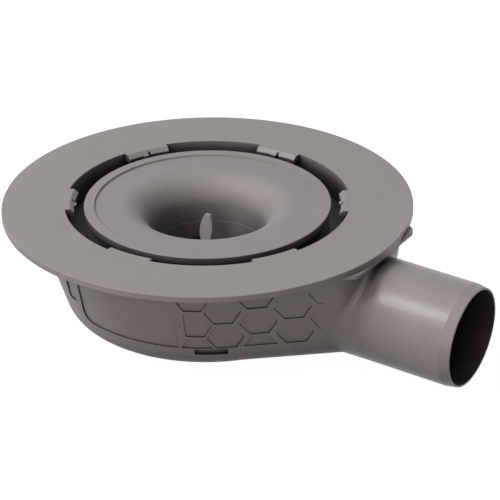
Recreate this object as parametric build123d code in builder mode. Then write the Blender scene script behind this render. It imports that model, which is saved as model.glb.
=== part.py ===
import os
from math import cos, radians, sin, tan

from build123d import *

os.makedirs("parts", exist_ok=True)

# Floor drain body with a side outlet and a lift-out water trap.
# Millimetres, +Z up, outlet along +X.
# The origin is the centre of the foot's underside, on the axis of the opening.

# Overall sizes
flange_thickness = 3.0
flange_width = 15.3         # flange beyond the bowl's rim
flange_rim_round = 0.4
draft = 17.6                # slope of the bowl's wall, degrees
wall = 2.5                  # wall of the bowl

# Bowl
rim_margin = 15.2           # bowl's rim, outside, beyond the opening
bowl_round = 12.0           # rounded edge between wall and underside
foot_height = 5.3           # underside of the bowl above the foot
foot_radius = 50.0          # flat that the drain stands on
foot_spread = 7.0           # how much wider the foot is where it leaves the bowl
edge_land = 0.2             # flat that stays beside the rounded edge where room is short

# Neck between the bowl and the outlet
neck_turn = 50.3            # direction in which the neck's side walls face, degrees
neck_inset = 0.45           # side walls lie this much inside the bowl's tangent
neck_end = 30.8             # half the width of the end face at the rim, before its corners are rounded
neck_foot_end = 9.9         # and at the underside
neck_corner = 28.0          # upright corners of the end face, at the rim
neck_foot_corner = 14.0     # and at the underside
neck_round = 12.0           # rounded edge between the neck's walls and its underside
lip_reach = 4.5             # lip over the end face, under the flange
lip_corner = 6.0
lip_thickness = 1.8

# Outlet pipe
pipe_radius = 25.0
pipe_wall = 1.8
pipe_fall = 2.4             # fall of the outlet, degrees
pipe_rise = 6.2             # underside of the pipe above the foot's underside, at the bowl's axis
pipe_cover = 4.3            # flange top above the top of the pipe, at the bowl's axis
pipe_length = 145.0         # bowl's axis to the end of the pipe
root_length = 6.0           # the pipe is straight from this far beyond the neck's end face
root_taper = 0.6            # how much thicker it gets from there inwards
root_round = 3.0            # fillet between the pipe and the neck
bore_lead = 4.0             # the bore begins this much before the pipe, which begins over the foot's rim
lead_length = 5.0           # lead-in taper at the end
lead_depth = 0.9

# Relief: pockets in the bowl's wall, seen square to the mould's side slide
# Across is the distance from the slide's middle line, drop is the depth below the flange top
slide_turn = 72.0           # direction in which the slide leaves, degrees from the outlet
pocket_depth = 0.6
pocket_top = 11.5
pocket_bottom = 42.4
cell = 14.4                 # honeycomb pocket, across its flats
cell_rise = 16.2            # from one pocket to the next above it
cell_drop = 27.75           # middle of the pockets in a shifted column
shifted_columns = (12.6, 40.9)
level_columns = (25.9, 56.5)
field_start = 5.6           # the honeycomb starts here
field_end = 71.0            # and ends before the corner of the neck
last_column = 71.8          # shifted column whose pockets fade out towards that end
fade_start = 63.0
fade_turn = 4.5             # how far the floor of these pockets turns outward, degrees
web_end = 8.0               # its first whole pocket is cut off here
web_top = 20.3
web_bottom = 35.6
plate_start = -47.0         # plain pocket beside the honeycomb
plate_end = 4.0
plate_round = 6.0
plate_corner = 2.0
margin_start = -55.2        # narrow pocket behind the plate
margin_end = -50.5
margin_bottom = 32.8
slot_start = 11.2           # deeper slot under the honeycomb
slot_end = 26.4
slot_top = 43.0
slot_bottom = 46.3
slot_depth = 1.8

# Flange ring: flange, opening, trough and seat of the trap
trough_width = 9.3          # between the trap's disc and the opening
collar_wall = 2.2
trough_depth = 14.8
disc_overlap = 3.6          # how far the disc reaches over the bore that the trap's skirt fits in
seat_length = 11.5          # length of that bore below the trough's floor
weld_rib_height = 2.5       # rib that centres the ring in the bowl's rim
weld_rib_width = 1.8
weld_gap = 0.2
tab_count = 6
tab_reach = 4.5             # from the opening inwards
tab_span = 19.5             # degrees
tab_thickness = 4.0
tab_bevel = 1.9
nub_width = 3.0
nub_height = 0.9
groove_width = 1.2
groove_depth = 1.2

# Trap funnel: disc, funnel, dip tube and skirt
disc_radius = 60.2
disc_drop = 1.0             # disc's rim below the flange top
rim_width = 5.0
rim_height = 1.0
rim_round = 0.4
disc_wall = 1.8
edge_depth = 3.4            # depth of the disc's outer edge
edge_wall = 1.6
funnel_round = 14.0         # lip of the funnel
tube_bottom = 34.0          # below the flange top
step_drop = 25.2            # small step inside the dip tube, below the flange top
step_width = 0.5
skirt_clearance = 0.4
skirt_wall = 2.2
skirt_bottom = 24.5         # below the flange top
shoulder_width = 3.0
shoulder_height = 2.0
seat_gap = 0.1
seal_top = 18.6             # seal groove, below the flange top
seal_height = 3.4
seal_depth = 1.6
seal_gap = 0.1
bead_top = 23.0             # bead on the dip tube that carries the cup, below the flange top
bead_height = 1.6
bead_width = 1.1

# Trap cup
riser_width = 9.0           # between the skirt and the cup
dip_gap = 13.0              # between the cup's wall and the dip tube
cup_wall = 1.8
cup_rim = 8.0               # below the flange top: the water level of the trap
cup_lift = 9.4              # cup's underside above the floor of the bowl
cup_round = 5.0
sleeve_gap = 0.1
sleeve_wall = 1.8
sleeve_height = 6.6
rib_count = 3
rib_width = 2.0
rib_drop = 2.5              # top of the ribs below the cup's rim
grip_top = 8.0              # tip of the grip below the flange top
grip_swell = 15.5           # widest place below the flange top
stem_drop = 24.0            # where the leaf ends in its stem
grip_tip = 2.7              # width of the leaf at its tip
grip_width = 7.0            # at its widest place
grip_front = -0.7           # front of the leaf's tip, from the axis
grip_lean = 10.0            # how far the leaf leans, degrees
leaf_thickness = 2.0
web_thickness = 2.2
web_clearance = 11.8        # between the web's back and the dip tube
web_drop = 25.0             # the web's back runs straight down from here

# Worked out from the sizes above
slope = tan(radians(draft))
height = pipe_rise + 2 * pipe_radius + pipe_cover
flange_underside = height - flange_thickness
opening_radius = disc_radius + trough_width
bowl_rim_radius = opening_radius + rim_margin
flange_radius = bowl_rim_radius + flange_width
bowl_bottom = foot_height
foot_level_radius = bowl_rim_radius - (flange_underside - bowl_bottom) * slope
neck_side = bowl_rim_radius - neck_inset
neck_foot_side = foot_level_radius - neck_inset
neck_face = (neck_side - neck_end * sin(radians(neck_turn))) / cos(radians(neck_turn))
neck_foot_face = (neck_foot_side - neck_foot_end * sin(radians(neck_turn))) / cos(radians(neck_turn))
root_end = max(neck_face, neck_foot_face) + root_length
pipe_start = foot_radius
bore_start = pipe_start - bore_lead
tab_inner_radius = opening_radius - tab_reach
collar_radius = opening_radius + collar_wall
trough_floor = height - trough_depth
trough_underside = trough_floor - collar_wall
seat_radius = disc_radius - disc_overlap
skirt_radius = seat_radius - skirt_clearance
skirt_inner = skirt_radius - skirt_wall
disc_rim = height - disc_drop
disc_face = disc_rim - rim_height
disc_underside = disc_face - disc_wall
cup_radius = skirt_inner - riser_width
cup_inner = cup_radius - cup_wall
cup_floor = bowl_bottom + wall + cup_lift + cup_wall
tube_outer = cup_inner - dip_gap
tube_radius = tube_outer - disc_wall
tube_end = height - tube_bottom
lip_radius = tube_radius + funnel_round
lip_level = disc_face - funnel_round
seat_face = trough_floor + seat_gap
sleeve_inner = tube_outer + sleeve_gap
bead_level = height - bead_top
pipe_heading = (cos(radians(pipe_fall)), 0, -sin(radians(pipe_fall)))
pipe_origin = (0, 0, pipe_rise + pipe_radius)
pipe_section = Plane(origin=pipe_origin, x_dir=pipe_heading, z_dir=(0, -1, 0))
pipe_axis = Axis(pipe_origin, pipe_heading)
slide_out = (cos(radians(slide_turn)), -sin(radians(slide_turn)), 0)
slide_side = (sin(radians(slide_turn)), cos(radians(slide_turn)), 0)
slide_plane = Plane(origin=(0, 0, 0), x_dir=slide_side, z_dir=slide_out)
slide_reach = bowl_rim_radius + pocket_depth


def upright(angle):
    """Plane through the drain's axis, with x pointing outward at this angle."""
    a = radians(angle)
    return Plane(origin=(0, 0, 0), x_dir=(cos(a), sin(a), 0), z_dir=(sin(a), -cos(a), 0))


def wall_radius(level):
    """Outside radius of the bowl's wall at this level."""
    return bowl_rim_radius - (flange_underside - level) * slope


def bowl_form(grow):
    """Bowl of revolution: foot, rounded edge and drafted wall, each moved outward by grow."""
    across = grow / cos(radians(draft))
    bottom = bowl_bottom - grow
    edge = wall_radius(bottom) + across
    foot_edge = foot_radius + foot_spread + grow
    room = (edge - foot_edge - edge_land) * tan(radians(45 + draft / 2))
    with BuildPart() as form:
        with BuildSketch(Plane.XZ) as section:
            with BuildLine():
                Polyline(
                    (0, -grow),
                    (foot_radius + grow, -grow),
                    (foot_edge, bottom),
                    (edge, bottom),
                    (bowl_rim_radius + across, flange_underside),
                    (0, flange_underside),
                    close=True,
                )
            make_face()
            fillet(section.vertices().sort_by_distance((edge, bottom))[0], min(bowl_round + grow, room))
        revolve(axis=Axis.Z)
    return form.part


def neck_plan(side, face, corner):
    """Outline of the neck in plan: two flat sides and an end with round corners."""
    turn = radians(neck_turn)
    end_half = (side - face * cos(turn)) / sin(turn)
    with BuildSketch() as plan:
        with BuildLine():
            Polyline(
                (side * cos(turn), -side * sin(turn)),
                (face, -end_half),
                (face, end_half),
                (side * cos(turn), side * sin(turn)),
                close=True,
            )
        make_face()
        fillet(plan.vertices().group_by(Axis.X)[-1], corner)
    return plan.sketch


def neck_form(grow):
    """Neck with flat drafted sides and a rounded end, each face moved outward by grow."""
    across = grow / cos(radians(draft))
    bottom = bowl_bottom - grow
    foot_side = wall_radius(bottom) - neck_inset + across
    with BuildPart() as form:
        with BuildSketch(Plane.XY.offset(flange_underside)):
            add(neck_plan(neck_side + across, neck_face + grow, neck_corner + grow))
        with BuildSketch(Plane.XY.offset(bottom)):
            add(neck_plan(foot_side, neck_foot_face + grow, neck_foot_corner + grow))
        loft()
        underside = form.faces().sort_by(Axis.Z)[0]
        fillet(underside.edges().sort_by(Axis.X)[1:], neck_round + grow)
    return form.part


def seen_from_slide(start, end, drop, bottom, corners):
    """Block along the slide's direction: a rectangle with rounded lower corners."""
    with BuildPart() as block:
        with BuildSketch(slide_plane) as view:
            with Locations((start, height - bottom)):
                Rectangle(end - start, bottom - drop, align=Align.MIN)
            low = view.vertices().group_by(Axis.Y)[0].sort_by(Axis.X)
            for vertex, size in zip(low, corners):
                if size:
                    fillet(vertex, size)
        extrude(amount=slide_reach)
    return block.part


def cells(columns, first, rows):
    """Hexagonal blocks along the slide's direction, this many in each column."""
    places = [(x, height - first - row * cell_rise) for x in columns for row in range(rows)]
    with BuildPart() as blocks:
        with BuildSketch(slide_plane):
            with Locations(places):
                RegularPolygon(cell / 2, 6, major_radius=False)
        extrude(amount=slide_reach)
    return blocks.part


# Pockets on the near side, then mirrored to the far side
with BuildPart() as honeycomb:
    add(cells(shifted_columns, cell_drop - cell_rise, 3))
    add(cells(level_columns, cell_drop - cell_rise / 2, 2))
    add(seen_from_slide(field_start, field_end, pocket_top, pocket_bottom, (0, 0)), mode=Mode.INTERSECT)
    add(seen_from_slide(field_start - cell, web_end, web_top, web_bottom, (0, 0)), mode=Mode.SUBTRACT)

with BuildPart() as inner_form:
    add(bowl_form(-pocket_depth))
    add(neck_form(-pocket_depth))

# A point on the neck's side wall where the last column starts, halfway down the pockets
middle_drop = (pocket_top + pocket_bottom) / 2
middle_side = neck_side - (middle_drop - flange_thickness) * slope
off_square = radians(slide_turn - neck_turn)
fade_along = (fade_start - middle_side * sin(off_square)) / cos(off_square)
fade_point = (
    middle_side * cos(radians(neck_turn)) + fade_along * sin(radians(neck_turn)),
    fade_along * cos(radians(neck_turn)) - middle_side * sin(radians(neck_turn)),
    0,
)

with BuildPart() as fading_cells:
    add(cells((last_column,), cell_drop - cell_rise, 2))
    add(seen_from_slide(field_start, field_end, pocket_top, pocket_bottom, (0, 0)), mode=Mode.INTERSECT)
    add(neck_form(-pocket_depth).rotate(Axis(fade_point, (0, 0, 1)), -fade_turn), mode=Mode.SUBTRACT)

with BuildPart() as pockets:
    add(honeycomb.part)
    add(fading_cells.part)
    add(seen_from_slide(plate_start, plate_end, pocket_top, pocket_bottom, (plate_round, plate_corner)))
    add(seen_from_slide(margin_start, margin_end, pocket_top, margin_bottom, (0, 0)))
    add(inner_form.part, mode=Mode.SUBTRACT)

with BuildPart() as slot:
    add(seen_from_slide(slot_start, slot_end, slot_top, slot_bottom, (0, 0)))
    add(bowl_form(-slot_depth), mode=Mode.SUBTRACT)
    add(neck_form(-slot_depth), mode=Mode.SUBTRACT)

with BuildPart() as relief:
    add(pockets.part)
    add(slot.part)
    mirror(about=Plane.XZ)

with BuildPart() as cavity:
    add(bowl_form(-wall))
    add(neck_form(-wall))

# Bowl, neck and outlet pipe, moulded in one
with BuildPart() as gully_body:
    add(bowl_form(0))
    add(neck_form(0))
    with BuildSketch(pipe_section):
        with BuildLine():
            Polyline(
                (pipe_start, 0),
                (pipe_start, pipe_radius + root_taper),
                (root_end, pipe_radius),
                (pipe_length - lead_length, pipe_radius),
                (pipe_length, pipe_radius - lead_depth),
                (pipe_length, 0),
                close=True,
            )
        make_face()
    revolve(axis=pipe_axis)
    fillet(gully_body.edges(Select.NEW), root_round)
    with BuildSketch(Plane.XY.offset(flange_underside)):
        add(neck_plan(neck_side, neck_face + lip_reach, lip_corner))
    extrude(amount=-lip_thickness)
    add(relief.part, mode=Mode.SUBTRACT)
    add(cavity.part, mode=Mode.SUBTRACT)
    with BuildSketch(pipe_section):
        with Locations((bore_start, 0)):
            Rectangle(pipe_length, pipe_radius - pipe_wall, align=Align.MIN)
    revolve(axis=pipe_axis, mode=Mode.SUBTRACT)
gully_body.part.label = "gully_body"
export_step(gully_body.part, "parts/gully_body.step")

# Flange ring, welded on the bowl's rim
with BuildPart() as flange_ring:
    rib_outer = bowl_rim_radius - wall / cos(radians(draft)) - weld_rib_height * slope - weld_gap
    with BuildSketch(Plane.XZ) as ring_section:
        with BuildLine():
            Polyline(
                (opening_radius, height),
                (flange_radius, height),
                (flange_radius, flange_underside),
                (rib_outer, flange_underside),
                (rib_outer, flange_underside - weld_rib_height),
                (rib_outer - weld_rib_width, flange_underside - weld_rib_height),
                (rib_outer - weld_rib_width, flange_underside),
                (collar_radius, flange_underside),
                (collar_radius, trough_underside),
                (seat_radius + collar_wall, trough_underside),
                (seat_radius + collar_wall, trough_floor - seat_length),
                (seat_radius, trough_floor - seat_length),
                (seat_radius, trough_floor),
                (opening_radius, trough_floor),
                close=True,
            )
        make_face()
        fillet(ring_section.vertices().sort_by_distance((flange_radius, height))[0], flange_rim_round)
    revolve(axis=Axis.Z)
    for tab in range(tab_count):
        middle = (tab + 0.5) * 360 / tab_count
        with BuildSketch(upright(middle - tab_span / 2)):
            with BuildLine():
                Polyline(
                    (opening_radius + collar_wall / 2, height),
                    (tab_inner_radius + tab_bevel, height),
                    (tab_inner_radius, height - tab_bevel),
                    (tab_inner_radius, height - tab_thickness),
                    (opening_radius + collar_wall / 2, height - tab_thickness),
                    close=True,
                )
            make_face()
        revolve(axis=Axis.Z, revolution_arc=tab_span)
        face_middle = height - (tab_thickness + tab_bevel) / 2
        with BuildSketch(upright(middle)):
            with Locations((tab_inner_radius, face_middle)):
                Rectangle(2 * nub_height, tab_thickness - tab_bevel)
        extrude(amount=-nub_width)
        with BuildSketch(upright(middle)):
            with Locations((tab_inner_radius, height - tab_thickness / 2)):
                Rectangle(2 * groove_depth, tab_thickness)
        extrude(amount=groove_width, mode=Mode.SUBTRACT)
flange_ring.part.label = "flange_ring"
export_step(flange_ring.part, "parts/flange_ring.step")

# Trap funnel: disc, funnel, dip tube, and the skirt that seats in the flange ring
with BuildPart() as trap_funnel:
    thick_inner = skirt_inner - seal_depth
    thick_top = height - seal_top + seal_depth
    with BuildSketch(Plane.XZ) as funnel_section:
        with BuildLine():
            Polyline(
                (tube_radius - step_width, tube_end),
                (tube_radius - step_width, height - step_drop),
                (tube_radius, height - step_drop),
                (tube_radius, lip_level),
            )
            CenterArc((lip_radius, lip_level), funnel_round, 90, 90)
            Polyline(
                (lip_radius, disc_face),
                (disc_radius - rim_width - rim_height / 4, disc_face),
                (disc_radius - rim_width, disc_rim),
                (disc_radius, disc_rim),
                (disc_radius, disc_rim - edge_depth),
                (disc_radius - edge_wall, disc_rim - edge_depth),
                (disc_radius - edge_wall, disc_underside),
                (skirt_radius, disc_underside),
                (skirt_radius, seat_face + shoulder_height),
                (skirt_radius + shoulder_width, seat_face + shoulder_height),
                (skirt_radius + shoulder_width, seat_face),
                (skirt_radius, seat_face),
                (skirt_radius, height - seal_top),
                (skirt_radius - seal_depth, height - seal_top),
                (skirt_radius - seal_depth, height - seal_top - seal_height),
                (skirt_radius, height - seal_top - seal_height),
                (skirt_radius, height - skirt_bottom),
                (thick_inner, height - skirt_bottom),
                (thick_inner, thick_top),
                (skirt_inner, thick_top + seal_depth),
                (skirt_inner, disc_underside),
                (lip_radius, disc_underside),
            )
            CenterArc((lip_radius, lip_level), funnel_round - disc_wall, 90, 90)
            Polyline(
                (tube_outer, lip_level),
                (tube_outer, bead_level),
                (tube_outer + bead_width, bead_level),
                (tube_outer + bead_width, bead_level - bead_height / 2),
                (tube_outer, bead_level - bead_height),
                (tube_outer, tube_end),
                (tube_radius - step_width, tube_end),
            )
        make_face()
        fillet(funnel_section.vertices().sort_by_distance((disc_radius, disc_rim))[0], rim_round)
    revolve(axis=Axis.Z)
trap_funnel.part.label = "trap_funnel"
export_step(trap_funnel.part, "parts/trap_funnel.step")

# Seal ring with two lips, in the skirt's groove
with BuildPart() as trap_seal:
    with BuildSketch(Plane.XZ):
        low = height - seal_top - seal_height + seal_gap
        high = height - seal_top - seal_gap
        back = skirt_radius - seal_depth + seal_gap
        shoulder = skirt_radius - skirt_clearance
        lip = seat_radius - seal_gap
        third = (high - low) / 3
        with BuildLine():
            Polyline(
                (back, low),
                (shoulder, low),
                (lip, low + third / 2),
                (lip, low + third),
                (shoulder, (low + high) / 2),
                (lip, high - third),
                (lip, high - third / 2),
                (shoulder, high),
                (back, high),
                close=True,
            )
        make_face()
    revolve(axis=Axis.Z)
trap_seal.part.label = "trap_seal"
export_step(trap_seal.part, "parts/trap_seal.step")

# Grip: an upright leaf that leans a little, with a web behind it
with BuildPart() as grip:
    tip = height - grip_top
    swell = height - grip_swell
    foot = cup_floor - cup_wall / 2
    lean = (tip - foot) * tan(radians(grip_lean))
    leaf_back = grip_front + leaf_thickness
    stem = web_thickness / 2
    stem_level = height - stem_drop
    with BuildSketch(Plane.XZ):
        with BuildLine():
            Polyline((-stem, stem_level), (-stem, foot), (stem, foot), (stem, stem_level))
            Spline((stem, stem_level), (grip_width / 2, swell), (grip_tip / 2, tip))
            Line((grip_tip / 2, tip), (-grip_tip / 2, tip))
            Spline((-grip_tip / 2, tip), (-grip_width / 2, swell), (-stem, stem_level))
        make_face()
    extrude(amount=tube_radius, both=True)
    with BuildSketch(Plane.YZ):
        with BuildLine():
            Polyline(
                (grip_front, tip),
                (leaf_back, tip),
                (leaf_back - lean, foot),
                (grip_front - lean, foot),
                close=True,
            )
        make_face()
    extrude(amount=grip_width, both=True, mode=Mode.INTERSECT)
    with BuildSketch(Plane.YZ):
        with BuildLine():
            Polyline(
                (leaf_back - leaf_thickness / 2, tip),
                (leaf_back, tip),
                (tube_radius - web_clearance, height - web_drop),
                (tube_radius - web_clearance, foot),
                (leaf_back - leaf_thickness / 2 - lean, foot),
                close=True,
            )
        make_face()
    extrude(amount=web_thickness / 2, both=True)

# Trap cup: water cup, ribs, sleeve on the dip tube, and the finger grip
with BuildPart() as trap_cup:
    cup_top = height - cup_rim
    sleeve_low = bead_level
    with BuildSketch(Plane.XZ) as cup_section:
        with BuildLine():
            Polyline(
                (0, cup_floor - cup_wall),
                (cup_radius, cup_floor - cup_wall),
                (cup_radius, cup_top),
                (cup_inner, cup_top),
                (cup_inner, cup_floor),
                (0, cup_floor),
                close=True,
            )
        make_face()
        fillet(cup_section.vertices().sort_by_distance((cup_inner, cup_floor))[0], cup_round)
        fillet(
            cup_section.vertices().sort_by_distance((cup_radius, cup_floor - cup_wall))[0],
            cup_round + cup_wall,
        )
        with Locations((sleeve_inner + sleeve_wall / 2, sleeve_low + sleeve_height / 2)):
            Rectangle(sleeve_wall, sleeve_height)
    revolve(axis=Axis.Z)
    for rib in range(rib_count):
        with BuildSketch(upright(rib * 360 / rib_count)):
            with BuildLine():
                Polyline(
                    (sleeve_inner + sleeve_wall / 2, sleeve_low),
                    (cup_inner + cup_wall / 2, sleeve_low),
                    (cup_inner + cup_wall / 2, cup_top - rib_drop),
                    (sleeve_inner + sleeve_wall, sleeve_low + sleeve_height),
                    (sleeve_inner + sleeve_wall / 2, sleeve_low + sleeve_height),
                    close=True,
                )
            make_face()
        extrude(amount=rib_width / 2, both=True)
    add(grip.part)
trap_cup.part.label = "trap_cup"
export_step(trap_cup.part, "parts/trap_cup.step")
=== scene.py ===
import math

import bpy
from mathutils import Matrix, Vector

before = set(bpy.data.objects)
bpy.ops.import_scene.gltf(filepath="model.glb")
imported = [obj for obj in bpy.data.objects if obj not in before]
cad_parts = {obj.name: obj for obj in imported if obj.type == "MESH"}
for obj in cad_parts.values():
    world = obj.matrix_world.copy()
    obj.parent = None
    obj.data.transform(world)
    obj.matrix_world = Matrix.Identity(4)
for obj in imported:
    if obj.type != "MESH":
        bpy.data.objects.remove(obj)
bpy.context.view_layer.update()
scene = bpy.context.scene

WHITE = (1.0, 1.0, 1.0)

# Shading of the solids: faces that meet at less than this angle are one smooth surface
SMOOTH_ANGLE = math.radians(28)

# Camera, solved from the flange's rim, the opening, the trap's disc and the pipe's end.
# Lens and sensor in millimetres, the rest in metres
CAMERA_PLACE = (0.527449, -0.814395, 0.529859)
CAMERA_ROTATION = (
    (0.85255386, -0.23282782, 0.46791359),
    (0.52258903, 0.39219017, -0.75702548),
    (-0.00725452, 0.88993150, 0.45603651),
)
LENS = 159.245
SENSOR = 36.0
CLIP_NEAR = 0.05
CLIP_FAR = 50.0

# Square lamps that look at the origin: place and edge in metres, power in watts
LAMPS = {
    "key": dict(place=(-0.45, -0.89, 1.38), edge=0.45, power=10.6),
    "side": dict(place=(-0.98, -0.76, 1.12), edge=0.6, power=6.4),
    "top": dict(place=(-0.30, -0.10, 1.68), edge=2.0, power=9.0),
    "fill": dict(place=(0.2, -1.8, 0.7), edge=1.4, power=10.4, colour=(1.0, 0.80, 0.77)),
}

# The world's strength as light on the object, and as the background that is seen
WORLD_LIGHT = 0.09
WORLD_SEEN = 1.0

# Floor: half its width in metres, its grey, and the glow that makes it look white
FLOOR_HALF = 6.0
FLOOR_GREY = 0.19
FLOOR_GLOW = 0.97

# Colours, linear
HOUSING_COLOUR = (0.276, 0.250, 0.247)
TRAP_COLOUR = (0.279, 0.258, 0.256)
SEAL_COLOUR = (0.012, 0.012, 0.012)

# Cloudy colour: noise, and the noise values between which it goes from dark to light
CLOUDS = dict(Scale=38.0, Detail=4.0, Roughness=0.6)
CLOUDS_DARK = 0.3
CLOUDS_LIGHT = 0.7

# Fine eroded texture: noise, its depth in metres, the noise values between which it goes from
# dark to light, and the share by which it changes the colour
EROSION = dict(Scale=1400.0, Detail=2.0, Roughness=0.5)
EROSION_DEPTH = 0.0001
SPECKLE_DARK = 0.3
SPECKLE_LIGHT = 0.7
SPECKLE = 0.08

# Streaks of gloss: noise, and how far they move the roughness up and down
STREAKS = dict(Scale=210.0, Detail=3.0, Roughness=0.55)
STREAKS_RANGE = 0.03

# Painted shading in recesses, which scales the colour by ambient occlusion: reach in metres, and
# share of the sky seen when deep and open
PAINTED_SHADING_REACH = 0.045
PAINTED_SHADING_DEEP = 0.32
PAINTED_SHADING_OPEN = 0.62
PAINTED_SHADING_SAMPLES = 8

# Rounded arrises: radius in metres
ARRIS_RADIUS = 0.00035
ARRIS_SAMPLES = 6

# The pipe's gloss sets in between these two places along X, in metres
PIPE_NEAR = 0.082
PIPE_FAR = 0.094

# The pipe's bore, where shade is painted into the colour: a point and the direction of its axis,
# where the painted shade begins along X, its radius, both in metres, and the share of the colour
# that is left in it
BORE_FALL = math.radians(2.4)
BORE_START = (0.0, 0.0, 0.0312)
BORE_HEAD = (math.cos(BORE_FALL), 0.0, -math.sin(BORE_FALL))
BORE_NEAR = 0.050
BORE_RADIUS = 0.0235
BORE_PAINTED_SHADE = 0.22


def node(tree, kind, *values, operation=None, **named):
    """Adds a shader node. Its inputs are given in order or by name, each as a socket or value."""
    made = tree.nodes.new(kind)
    if operation:
        made.operation = operation
    given = dict(enumerate(values))
    given.update((name.replace("_", " "), value) for name, value in named.items())
    for key, value in given.items():
        if isinstance(value, bpy.types.NodeSocket):
            tree.links.new(value, made.inputs[key])
        else:
            made.inputs[key].default_value = value
    return made


def maths(tree, operation, *values):
    """Adds a Math node and gives its result."""
    return node(tree, "ShaderNodeMath", *values, operation=operation).outputs["Value"]


def vector_maths(tree, operation, *values, result="Vector", **named):
    """Adds a Vector Math node and gives its result."""
    made = node(tree, "ShaderNodeVectorMath", *values, operation=operation, **named)
    return made.outputs[result]


def mapped(tree, value, **limits):
    """Adds a Map Range node, which holds value within its limits, and gives its result."""
    return node(tree, "ShaderNodeMapRange", value, **limits).outputs["Result"]


def moulded(name, colour, roughness, grain, mottle, recess_shading, polish=0.0):
    """Matt moulded plastic: a fine eroded texture, faint cloudy colour and rounded arrises.

    grain is the strength of the texture, and mottle how far the clouds change the colour, up and
    down. In deep places shade is painted into the colour: the share recess of it is left, or, if
    recess is above 1, light is painted in and it is lighter. Beyond the neck, on the turned pipe,
    polish is taken from the roughness.
    """
    material = bpy.data.materials.new(name)
    material.use_nodes = True
    tree = material.node_tree
    shader = tree.nodes["Principled BSDF"]
    where = node(tree, "ShaderNodeTexCoord").outputs["Object"]

    clouds = node(tree, "ShaderNodeTexNoise", Vector=where, **CLOUDS)
    tint = node(tree, "ShaderNodeValToRGB", Fac=clouds.outputs["Fac"])
    dark, light = tint.color_ramp.elements
    dark.position = CLOUDS_DARK
    dark.color = (*(c * (1.0 - mottle) for c in colour), 1.0)
    light.position = CLOUDS_LIGHT
    light.color = (*(c * (1.0 + mottle) for c in colour), 1.0)

    # Painted shading: ambient occlusion makes the colour darker in recesses, or lighter for a
    # share above 1
    shade = node(tree, "ShaderNodeAmbientOcclusion", Distance=PAINTED_SHADING_REACH)
    shade.samples = PAINTED_SHADING_SAMPLES
    painted_recess_shading = mapped(
        tree, shade.outputs["AO"], From_Min=PAINTED_SHADING_DEEP, From_Max=PAINTED_SHADING_OPEN, To_Min=recess_shading
    )

    eroded = node(tree, "ShaderNodeTexNoise", Vector=where, **EROSION).outputs["Fac"]
    speckle = mapped(
        tree,
        eroded,
        From_Min=SPECKLE_DARK,
        From_Max=SPECKLE_LIGHT,
        To_Min=1.0 - SPECKLE,
        To_Max=1.0 + SPECKLE,
    )
    share = maths(tree, "MULTIPLY", painted_recess_shading, speckle)
    paint = vector_maths(tree, "SCALE", tint.outputs["Color"], Scale=share)
    tree.links.new(paint, shader.inputs["Base Color"])

    streaks = node(tree, "ShaderNodeTexNoise", Vector=where, **STREAKS).outputs["Fac"]
    gloss = mapped(
        tree, streaks, To_Min=roughness - STREAKS_RANGE, To_Max=roughness + STREAKS_RANGE
    )
    along = node(tree, "ShaderNodeSeparateXYZ", where).outputs["X"]
    turned = mapped(tree, along, From_Min=PIPE_NEAR, From_Max=PIPE_FAR, To_Max=-polish)
    tree.links.new(maths(tree, "ADD", gloss, turned), shader.inputs["Roughness"])

    arris = node(tree, "ShaderNodeBevel", Radius=ARRIS_RADIUS)
    arris.samples = ARRIS_SAMPLES
    bump = node(
        tree,
        "ShaderNodeBump",
        Strength=grain,
        Distance=EROSION_DEPTH,
        Height=eroded,
        Normal=arris.outputs["Normal"],
    )
    tree.links.new(bump.outputs["Normal"], shader.inputs["Normal"])
    return material


def paint_bore_shade(material):
    """Paints shade into the faces inside the pipe's bore, which are found by their distance from
    its axis.
    """
    tree = material.node_tree
    base = tree.nodes["Principled BSDF"].inputs["Base Color"]
    colour = base.links[0].from_socket
    where = node(tree, "ShaderNodeTexCoord").outputs["Object"]

    out = vector_maths(tree, "SUBTRACT", where, BORE_START)
    side = vector_maths(tree, "CROSS_PRODUCT", out, BORE_HEAD)
    apart = vector_maths(tree, "LENGTH", side, result="Value")
    outside = maths(tree, "GREATER_THAN", apart, BORE_RADIUS)
    along = node(tree, "ShaderNodeSeparateXYZ", where).outputs["X"]
    before = maths(tree, "LESS_THAN", along, BORE_NEAR)
    clear = maths(tree, "MAXIMUM", outside, before)
    left = mapped(tree, clear, To_Min=BORE_PAINTED_SHADE)
    tree.links.new(vector_maths(tree, "SCALE", colour, Scale=left), base)


# The recess shares paint shade into deep places: the housing's trough and pipe root, the trap's
# disc side under the flange, and the seal
housing = moulded(
    "housing_plastic_look",
    HOUSING_COLOUR,
    roughness=0.50,
    grain=0.75,
    mottle=0.03,
    recess_shading=0.04,
    polish=0.16,
)
paint_bore_shade(housing)
trap = moulded(
    "trap_plastic_look", TRAP_COLOUR, roughness=0.62, grain=0.75, mottle=0.03, recess_shading=0.10
)
# The cup's recess share above 1 paints light into its deep places, so the grip's leaf in the tube
# looks lit
cup = moulded(
    "cup_plastic_look", TRAP_COLOUR, roughness=0.55, grain=0.75, mottle=0.03, recess_shading=1.15
)
seal = moulded(
    "seal_rubber_look", SEAL_COLOUR, roughness=0.60, grain=0.20, mottle=0.10, recess_shading=0.30
)
LOOKS = {
    "gully_body": housing,
    "flange_ring": housing,
    "trap_funnel": trap,
    "trap_cup": cup,
    "trap_seal": seal,
}
for name, look in LOOKS.items():
    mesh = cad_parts[name].data
    mesh.materials.clear()
    mesh.materials.append(look)
    mesh.shade_smooth()
    mesh.set_sharp_from_angle(angle=SMOOTH_ANGLE)


def seen(tree):
    """Gives 1 for the rays that see the background: camera, glossy and transmission rays."""
    rays = node(tree, "ShaderNodeLightPath").outputs
    direct = maths(tree, "MAXIMUM", rays["Is Camera Ray"], rays["Is Glossy Ray"])
    return maths(tree, "MAXIMUM", direct, rays["Is Transmission Ray"])


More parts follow.
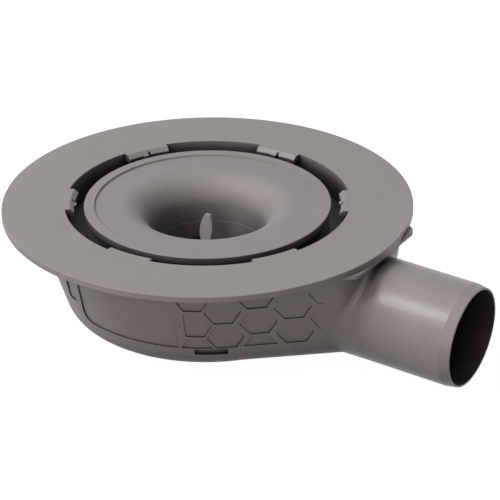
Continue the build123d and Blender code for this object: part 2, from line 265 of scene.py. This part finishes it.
def floor_look():
    """Diffuse surface that looks white where it is seen, and still takes a shadow."""
    material = bpy.data.materials.new("floor_look")
    material.use_nodes = True
    tree = material.node_tree
    tree.nodes.clear()
    paint = node(tree, "ShaderNodeBsdfDiffuse", Color=(FLOOR_GREY, FLOOR_GREY, FLOOR_GREY, 1.0))
    strength = maths(tree, "MULTIPLY", seen(tree), FLOOR_GLOW)
    glow = node(tree, "ShaderNodeEmission", Strength=strength)
    both = node(tree, "ShaderNodeAddShader", paint.outputs["BSDF"], glow.outputs["Emission"])
    node(tree, "ShaderNodeOutputMaterial", Surface=both.outputs["Shader"])
    return material


corners = ((-1, -1), (1, -1), (1, 1), (-1, 1))
floor_mesh = bpy.data.meshes.new("floor")
floor_mesh.from_pydata(
    [(x * FLOOR_HALF, y * FLOOR_HALF, 0) for x, y in corners], [], [(0, 1, 2, 3)]
)
floor = bpy.data.objects.new("floor", floor_mesh)
scene.collection.objects.link(floor)
floor_mesh.materials.append(floor_look())

world = bpy.data.worlds.new("studio")
scene.world = world
world.use_nodes = True
tree = world.node_tree
sky = tree.nodes["Background"]
sky.inputs["Color"].default_value = (*WHITE, 1.0)
strength = mapped(tree, seen(tree), To_Min=WORLD_LIGHT, To_Max=WORLD_SEEN)
tree.links.new(strength, sky.inputs["Strength"])


def softbox(name, place, edge, power, colour=WHITE):
    """Square area lamp that looks at the origin."""
    data = bpy.data.lights.new(name, "AREA")
    data.shape = "SQUARE"
    data.size = edge
    data.energy = power
    data.color = colour
    lamp = bpy.data.objects.new(name, data)
    scene.collection.objects.link(lamp)
    lamp.rotation_mode = "QUATERNION"
    lamp.location = place
    lamp.rotation_quaternion = (-Vector(place)).to_track_quat("-Z", "Y")


for name, lamp in LAMPS.items():
    softbox(name, **lamp)

camera_data = bpy.data.cameras.new("camera")
camera_data.lens = LENS
camera_data.sensor_width = SENSOR
camera_data.clip_start = CLIP_NEAR
camera_data.clip_end = CLIP_FAR
camera = bpy.data.objects.new("camera", camera_data)
scene.collection.objects.link(camera)
camera.matrix_world = Matrix.Translation(CAMERA_PLACE) @ Matrix(CAMERA_ROTATION).to_4x4()
scene.camera = camera

scene.view_settings.view_transform = "Standard"

bpy.context.view_layer.update()
